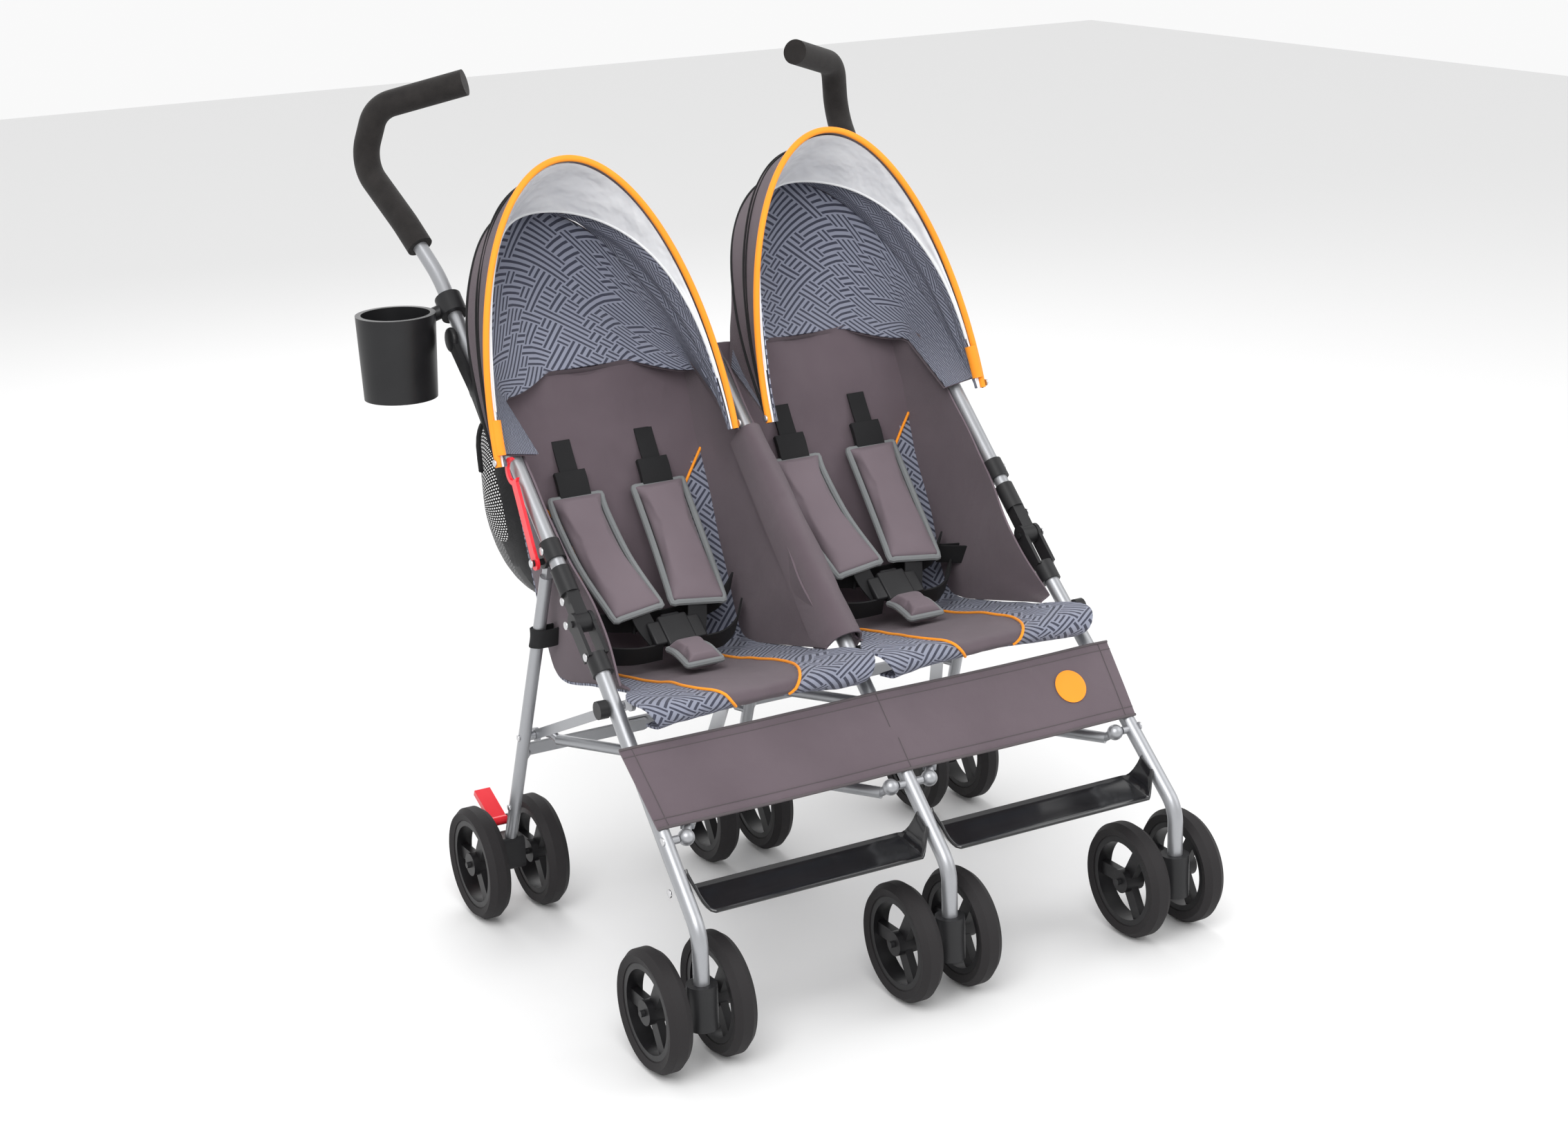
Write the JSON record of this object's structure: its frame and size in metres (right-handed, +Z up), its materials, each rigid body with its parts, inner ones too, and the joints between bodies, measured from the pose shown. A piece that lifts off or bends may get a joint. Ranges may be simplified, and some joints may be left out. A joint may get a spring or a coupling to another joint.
{
  "type": "double umbrella stroller",
  "caption": "Side-by-side folding umbrella stroller: three tube side frames, sling seats with harnesses, two canopies, cross braces, swivel casters and a cup holder.",
  "frame": {"origin": "middle of the footprint box, on the floor", "axes": "+Z up, +Y towards the handles (rear), +X to the right seen from the front; the middle side frame is parallel to the YZ plane"},
  "size_m": [0.8335, 0.8667, 1.0577],
  "materials": {
    "silver_paint": "satin silver paint",
    "black_plastic": "black moulded plastic",
    "foam": "black closed-cell foam",
    "tyre": "black tyre and rim",
    "red_plastic": "red moulded plastic",
    "cup_black": "black moulded plastic",
    "gloss_black": "glossy black plastic",
    "fabric_grey": "woven polyester",
    "fabric_print": "printed woven polyester",
    "mesh_black": "black mesh and cloth",
    "orange_trim": "orange piping",
    "webbing": "black webbing",
    "visor": "white translucent sheet",
    "grey_binding": "grey binding tape"
  },
  "bodies": {
    "middle_frame": {"front_leg_middle": "silver_paint", "hinge_housing_middle": "black_plastic", "footrest_left": "gloss_black", "footrest_right": "gloss_black", "calf_band": "fabric_grey", "seat_bottoms": "fabric_grey"},
    "left_frame": {"front_leg_left": "silver_paint", "hinge_housing_left": "black_plastic"},
    "right_frame": {"front_leg_right": "silver_paint", "hinge_housing_right": "black_plastic"},
    "handle_middle": {"upper_tube_middle": "silver_paint", "hinge_sleeve_middle": "black_plastic", "seat_backs": "fabric_grey", "storage_bag": "mesh_black"},
    "handle_left": {"upper_tube_left": "silver_paint", "hinge_sleeve_left": "black_plastic", "grip_left": "foam", "cup_holder": "cup_black", "cup_clamp": "cup_black"},
    "handle_right": {"upper_tube_right": "silver_paint", "hinge_sleeve_right": "black_plastic", "grip_right": "foam"},
    "rear_left": {"rear_leg_left": "silver_paint", "rear_axle_left": "black_plastic"},
    "rail_left": {"seat_rail_left": "silver_paint"},
    "rear_middle": {"rear_leg_middle": "silver_paint", "rear_axle_middle": "black_plastic"},
    "rail_middle": {"seat_rail_middle": "silver_paint"},
    "rear_right": {"rear_leg_right": "silver_paint", "rear_axle_right": "black_plastic"},
    "rail_right": {"seat_rail_right": "silver_paint"},
    "cross_tube_left": {"cross_tube_left": "silver_paint"},
    "cross_bar_left": {"cross_bar_left": "silver_paint"},
    "cross_tube_right": {"cross_tube_right": "silver_paint"},
    "cross_bar_right": {"cross_bar_right": "silver_paint"},
    "crossbar_left_outer": {"crossbar_left_outer": "silver_paint"},
    "crossbar_left_inner": {"crossbar_left_inner": "silver_paint"},
    "crossbar_right_inner": {"crossbar_right_inner": "silver_paint"},
    "crossbar_right_outer": {"crossbar_right_outer": "silver_paint"},
    "caster_left": {"caster_left": "black_plastic"},
    "wheel_front_left_l": {"wheel_front_left_l": "tyre"},
    "wheel_front_left_r": {"wheel_front_left_r": "tyre"},
    "wheel_rear_left_l": {"wheel_rear_left_l": "tyre"},
    "wheel_rear_left_r": {"wheel_rear_left_r": "tyre"},
    "caster_middle": {"caster_middle": "black_plastic"},
    "wheel_front_middle_l": {"wheel_front_middle_l": "tyre"},
    "wheel_front_middle_r": {"wheel_front_middle_r": "tyre"},
    "wheel_rear_middle_l": {"wheel_rear_middle_l": "tyre"},
    "wheel_rear_middle_r": {"wheel_rear_middle_r": "tyre"},
    "caster_right": {"caster_right": "black_plastic"},
    "wheel_front_right_l": {"wheel_front_right_l": "tyre"},
    "wheel_front_right_r": {"wheel_front_right_r": "tyre"},
    "wheel_rear_right_l": {"wheel_rear_right_l": "tyre"},
    "wheel_rear_right_r": {"wheel_rear_right_r": "tyre"},
    "brake_left": {"brake_lever_left": "red_plastic"},
    "brake_right": {"brake_lever_right": "red_plastic"},
    "latch": {"fold_latch": "red_plastic"},
    "hood_left": {"canopy_left": "fabric_grey"},
    "hood_right": {"canopy_right": "fabric_grey"}
  },
  "joints": [
    {"name": "fold", "type": "hinge", "parent": "middle_frame", "child": "handle_middle", "pos_m": [0.02625, -0.1014, 0.454], "axis": [1, 0, 0], "range_deg": [0, 128], "deforming": ["footrest_left", "footrest_right", "calf_band", "seat_bottoms", "seat_backs", "storage_bag", "canopy_left", "canopy_right"]},
    {"name": "close_left", "type": "slide", "parent": "middle_frame", "child": "left_frame", "axis": [1, 0, 0], "range_m": [0, 0.15737]},
    {"name": "fold_left", "type": "hinge", "parent": "left_frame", "child": "handle_left", "pos_m": [-0.29175, -0.1014, 0.454], "axis": [1, 0, 0], "range_deg": [0, 128]},
    {"name": "close_right", "type": "slide", "parent": "middle_frame", "child": "right_frame", "axis": [-1, 0, 0], "range_m": [0, 0.15737]},
    {"name": "fold_right", "type": "hinge", "parent": "right_frame", "child": "handle_right", "pos_m": [0.34425, -0.1014, 0.454], "axis": [1, 0, 0], "range_deg": [0, 128]},
    {"name": "rear_leg_left", "type": "hinge", "parent": "handle_left", "child": "rear_left", "pos_m": [-0.29175, -0.0142, 0.50875], "axis": [1, 0, 0], "range_deg": [-54.25, 0]},
    {"name": "seat_rail_left", "type": "hinge", "parent": "rear_left", "child": "rail_left", "pos_m": [-0.29949, 0.07553, 0.256], "axis": [1, 0, 0], "range_deg": [-22.33, 0]},
    {"name": "rear_leg_middle", "type": "hinge", "parent": "handle_middle", "child": "rear_middle", "pos_m": [0.02625, -0.0142, 0.50875], "axis": [1, 0, 0], "range_deg": [-54.25, 0]},
    {"name": "seat_rail_middle", "type": "hinge", "parent": "rear_middle", "child": "rail_middle", "pos_m": [0.02625, 0.07553, 0.256], "axis": [1, 0, 0], "range_deg": [-22.33, 0]},
    {"name": "rear_leg_right", "type": "hinge", "parent": "handle_right", "child": "rear_right", "pos_m": [0.34425, -0.0142, 0.50875], "axis": [1, 0, 0], "range_deg": [-54.25, 0]},
    {"name": "seat_rail_right", "type": "hinge", "parent": "rear_right", "child": "rail_right", "pos_m": [0.35199, 0.07553, 0.256], "axis": [1, 0, 0], "range_deg": [-22.33, 0]},
    {"name": "cross_tube_left_turn", "type": "hinge", "parent": "middle_frame", "child": "cross_tube_left", "pos_m": [-0.00075, -0.3164, 0.252], "axis": [0.7361, 0.5019, -0.4541], "range_deg": [0, 36.22]},
    {"name": "cross_bar_left_turn", "type": "hinge", "parent": "left_frame", "child": "cross_bar_left", "pos_m": [-0.27406, -0.3164, 0.252], "axis": [0.7351, -0.5041, 0.4534], "range_deg": [0, 36.17]},
    {"name": "cross_tube_right_turn", "type": "hinge", "parent": "right_frame", "child": "cross_tube_right", "pos_m": [0.32656, -0.3164, 0.252], "axis": [0.7351, 0.5041, -0.4534], "range_deg": [0, 36.17]},
    {"name": "cross_bar_right_turn", "type": "hinge", "parent": "middle_frame", "child": "cross_bar_right", "pos_m": [0.05325, -0.3164, 0.252], "axis": [0.7361, -0.5019, 0.4541], "range_deg": [0, 36.22]},
    {"name": "crossbar_left_outer_fold", "type": "hinge", "parent": "rear_left", "child": "crossbar_left_outer", "pos_m": [-0.28653, 0.10127, 0.22685], "axis": [0, 0.9424, 0.3346], "range_deg": [-60.78, 0]},
    {"name": "crossbar_left_inner_fold", "type": "hinge", "parent": "rear_middle", "child": "crossbar_left_inner", "pos_m": [0.01225, 0.10692, 0.22886], "axis": [0, 0.9424, 0.3346], "range_deg": [0, 62.79]},
    {"name": "crossbar_right_inner_fold", "type": "hinge", "parent": "rear_middle", "child": "crossbar_right_inner", "pos_m": [0.04025, 0.10127, 0.22685], "axis": [0, 0.9424, 0.3346], "range_deg": [-62.79, 0]},
    {"name": "crossbar_right_outer_fold", "type": "hinge", "parent": "rear_right", "child": "crossbar_right_outer", "pos_m": [0.33903, 0.10692, 0.22886], "axis": [0, 0.9424, 0.3346], "range_deg": [0, 60.78]},
    {"name": "caster_left_swivel", "type": "hinge", "parent": "left_frame", "child": "caster_left", "pos_m": [-0.30475, -0.4004, 0.085], "axis": [0, 0, 1], "continuous": true},
    {"name": "wheel_front_left_l_spin", "type": "hinge", "parent": "caster_left", "child": "wheel_front_left_l", "pos_m": [-0.34575, -0.3604, 0.073], "axis": [1, 0, 0], "continuous": true},
    {"name": "wheel_front_left_r_spin", "type": "hinge", "parent": "caster_left", "child": "wheel_front_left_r", "pos_m": [-0.26375, -0.3604, 0.073], "axis": [1, 0, 0], "continuous": true},
    {"name": "wheel_rear_left_l_spin", "type": "hinge", "parent": "rear_left", "child": "wheel_rear_left_l", "pos_m": [-0.34575, 0.1396, 0.073], "axis": [1, 0, 0], "continuous": true},
    {"name": "wheel_rear_left_r_spin", "type": "hinge", "parent": "rear_left", "child": "wheel_rear_left_r", "pos_m": [-0.26375, 0.1396, 0.073], "axis": [1, 0, 0], "continuous": true},
    {"name": "caster_middle_swivel", "type": "hinge", "parent": "middle_frame", "child": "caster_middle", "pos_m": [0.02625, -0.4004, 0.085], "axis": [0, 0, 1], "continuous": true},
    {"name": "wheel_front_middle_l_spin", "type": "hinge", "parent": "caster_middle", "child": "wheel_front_middle_l", "pos_m": [-0.01475, -0.3604, 0.073], "axis": [1, 0, 0], "continuous": true},
    {"name": "wheel_front_middle_r_spin", "type": "hinge", "parent": "caster_middle", "child": "wheel_front_middle_r", "pos_m": [0.06725, -0.3604, 0.073], "axis": [1, 0, 0], "continuous": true},
    {"name": "wheel_rear_middle_l_spin", "type": "hinge", "parent": "rear_middle", "child": "wheel_rear_middle_l", "pos_m": [-0.01475, 0.1396, 0.073], "axis": [1, 0, 0], "continuous": true},
    {"name": "wheel_rear_middle_r_spin", "type": "hinge", "parent": "rear_middle", "child": "wheel_rear_middle_r", "pos_m": [0.06725, 0.1396, 0.073], "axis": [1, 0, 0], "continuous": true},
    {"name": "caster_right_swivel", "type": "hinge", "parent": "right_frame", "child": "caster_right", "pos_m": [0.35725, -0.4004, 0.085], "axis": [0, 0, 1], "continuous": true},
    {"name": "wheel_front_right_l_spin", "type": "hinge", "parent": "caster_right", "child": "wheel_front_right_l", "pos_m": [0.31625, -0.3604, 0.073], "axis": [1, 0, 0], "continuous": true},
    {"name": "wheel_front_right_r_spin", "type": "hinge", "parent": "caster_right", "child": "wheel_front_right_r", "pos_m": [0.39825, -0.3604, 0.073], "axis": [1, 0, 0], "continuous": true},
    {"name": "wheel_rear_right_l_spin", "type": "hinge", "parent": "rear_right", "child": "wheel_rear_right_l", "pos_m": [0.31625, 0.1396, 0.073], "axis": [1, 0, 0], "continuous": true},
    {"name": "wheel_rear_right_r_spin", "type": "hinge", "parent": "rear_right", "child": "wheel_rear_right_r", "pos_m": [0.39825, 0.1396, 0.073], "axis": [1, 0, 0], "continuous": true},
    {"name": "brake_left", "type": "hinge", "parent": "rear_left", "child": "brake_left", "pos_m": [-0.30475, 0.1666, 0.112], "axis": [1, 0, 0], "range_deg": [-22, 0]},
    {"name": "brake_right", "type": "hinge", "parent": "rear_right", "child": "brake_right", "pos_m": [0.35725, 0.1666, 0.112], "axis": [1, 0, 0], "range_deg": [-22, 0]},
    {"name": "fold_latch", "type": "hinge", "parent": "handle_left", "child": "latch", "pos_m": [-0.30875, -0.0142, 0.50875], "axis": [1, 0, 0], "range_deg": [0, 86.36]},
    {"name": "canopy_left", "type": "hinge", "parent": "handle_middle", "child": "hood_left", "pos_m": [-0.16025, 0.0476, 0.616], "axis": [-1, 0, 0], "range_deg": [0, 22], "deforming": ["canopy_left"]},
    {"name": "canopy_right", "type": "hinge", "parent": "handle_middle", "child": "hood_right", "pos_m": [0.21275, 0.0476, 0.616], "axis": [-1, 0, 0], "range_deg": [0, 22], "deforming": ["canopy_right"]}
  ],
  "couplings": [
    {"joint": "close_left", "follows": "fold", "m_per_rad": 0.070439},
    {"joint": "fold_left", "follows": "fold", "ratio": 1},
    {"joint": "close_right", "follows": "fold", "m_per_rad": 0.070439},
    {"joint": "fold_right", "follows": "fold", "ratio": 1},
    {"joint": "rear_leg_left", "follows": "fold", "ratio": -0.42378},
    {"joint": "seat_rail_left", "follows": "fold", "ratio": -0.17439},
    {"joint": "rear_leg_middle", "follows": "fold", "ratio": -0.42378},
    {"joint": "seat_rail_middle", "follows": "fold", "ratio": -0.17439},
    {"joint": "rear_leg_right", "follows": "fold", "ratio": -0.42378},
    {"joint": "seat_rail_right", "follows": "fold", "ratio": -0.17439},
    {"joint": "cross_tube_left_turn", "follows": "fold", "ratio": 0.28292},
    {"joint": "cross_bar_left_turn", "follows": "fold", "ratio": 0.28254},
    {"joint": "cross_tube_right_turn", "follows": "fold", "ratio": 0.28254},
    {"joint": "cross_bar_right_turn", "follows": "fold", "ratio": 0.28292},
    {"joint": "crossbar_left_outer_fold", "follows": "fold", "ratio": -0.47475},
    {"joint": "crossbar_left_inner_fold", "follows": "fold", "ratio": 0.49049},
    {"joint": "crossbar_right_inner_fold", "follows": "fold", "ratio": -0.49049},
    {"joint": "crossbar_right_outer_fold", "follows": "fold", "ratio": 0.47475}
  ]
}
